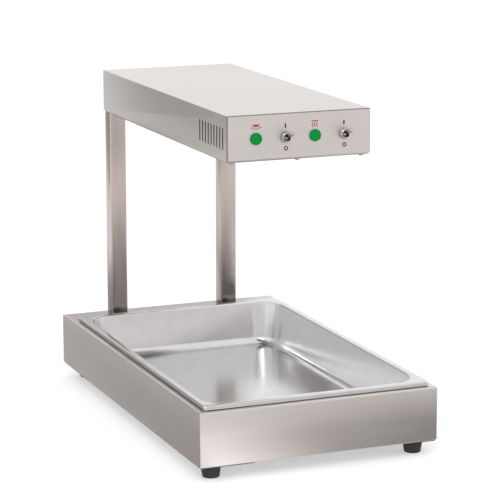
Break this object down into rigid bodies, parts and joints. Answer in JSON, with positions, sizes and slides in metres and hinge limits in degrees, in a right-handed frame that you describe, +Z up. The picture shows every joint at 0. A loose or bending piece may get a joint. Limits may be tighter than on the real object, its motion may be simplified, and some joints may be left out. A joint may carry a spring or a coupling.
{
  "type": "heat lamp gantry",
  "caption": "Countertop food warmer: a heated base with a lift-out steel pan under an infrared lamp head, cantilevered forward from square posts at the rear.",
  "frame": {"origin": "on the floor, under the middle of the whole outline", "axes": "+X to the right seen from the controls, +Y from the controls to the posts, +Z up"},
  "size_m": [0.343, 0.5982, 0.467],
  "materials": {
    "brushed_steel": "stainless sheet brushed along its length",
    "polished_steel": "pressed stainless steel, bright polished",
    "galvanised_steel": "galvanised sheet",
    "fascia": "satin stainless face plate",
    "aluminium": "bright rolled aluminium",
    "chrome": "bright plating",
    "zinc": "bright zinc plated",
    "rubber": "matt black rubber",
    "black_plastic": "moulded nylon",
    "grey_plastic": "moulded, light grey",
    "green_lens": "translucent green lens",
    "ceramic": "unglazed steatite",
    "quartz": "clear quartz tube",
    "silicone": "moulded silicone mat",
    "insulation": "pressed mineral fibre"
  },
  "bodies": {
    "gantry": {"base_housing": "brushed_steel", "base_bottom_plate": "galvanised_steel", "well_liner": "brushed_steel", "heat_spreader": "aluminium", "heating_mat": "silicone", "insulation_board": "insulation", "limiter_thermostat": "grey_plastic", "terminal_block": "grey_plastic", "cable_gland": "black_plastic", "foot_front_left": "rubber", "foot_front_right": "rubber", "foot_rear_left": "rubber", "foot_rear_right": "rubber", "foot_screw_front_left": "zinc", "foot_screw_front_right": "zinc", "foot_screw_rear_left": "zinc", "foot_screw_rear_right": "zinc", "post_left": "brushed_steel", "post_right": "brushed_steel", "post_mount_plate_left": "galvanised_steel", "post_mount_plate_right": "galvanised_steel", "base_post_screw_left_lower": "zinc", "base_post_screw_left_upper": "zinc", "base_post_screw_right_lower": "zinc", "base_post_screw_right_upper": "zinc", "head_post_screw_left_lower": "zinc", "head_post_screw_left_upper": "zinc", "head_post_screw_right_lower": "zinc", "head_post_screw_right_upper": "zinc", "head_cover": "brushed_steel", "front_fascia": "fascia", "head_tray": "brushed_steel", "reflector": "aluminium", "wire_guard": "chrome", "heat_baffle": "galvanised_steel", "reflector_end_front": "aluminium", "reflector_end_rear": "aluminium", "heater_tube_left": "quartz", "heater_tube_right": "quartz", "ceramic_cap_left_front": "ceramic", "ceramic_cap_left_rear": "ceramic", "ceramic_cap_right_front": "ceramic", "ceramic_cap_right_rear": "ceramic", "tray_screw_front_left": "zinc", "tray_screw_front_centre": "zinc", "tray_screw_front_right": "zinc", "tray_screw_rear_left": "zinc", "tray_screw_rear_right": "zinc", "indicator_holder_left": "black_plastic", "indicator_holder_right": "black_plastic", "indicator_lens_left": "green_lens", "indicator_lens_right": "green_lens", "switch_body_left": "grey_plastic", "switch_body_right": "grey_plastic", "switch_nut_left": "chrome", "switch_nut_right": "chrome"},
    "pan": {"gn_pan": "polished_steel"},
    "lever_left": {"toggle_lever_left": "chrome"},
    "lever_right": {"toggle_lever_right": "chrome"}
  },
  "joints": [
    {"name": "pan_lift", "type": "slide", "parent": "gantry", "child": "pan", "axis": [0, 0, 1], "range_m": [0, 0.12]},
    {"name": "lever_left_toggle", "type": "hinge", "parent": "gantry", "child": "lever_left", "pos_m": [-0.02, -0.22465, 0.435], "axis": [1, 0, 0], "range_deg": [0, 40]},
    {"name": "lever_right_toggle", "type": "hinge", "parent": "gantry", "child": "lever_right", "pos_m": [0.0644, -0.22465, 0.435], "axis": [1, 0, 0], "range_deg": [0, 40]}
  ]
}
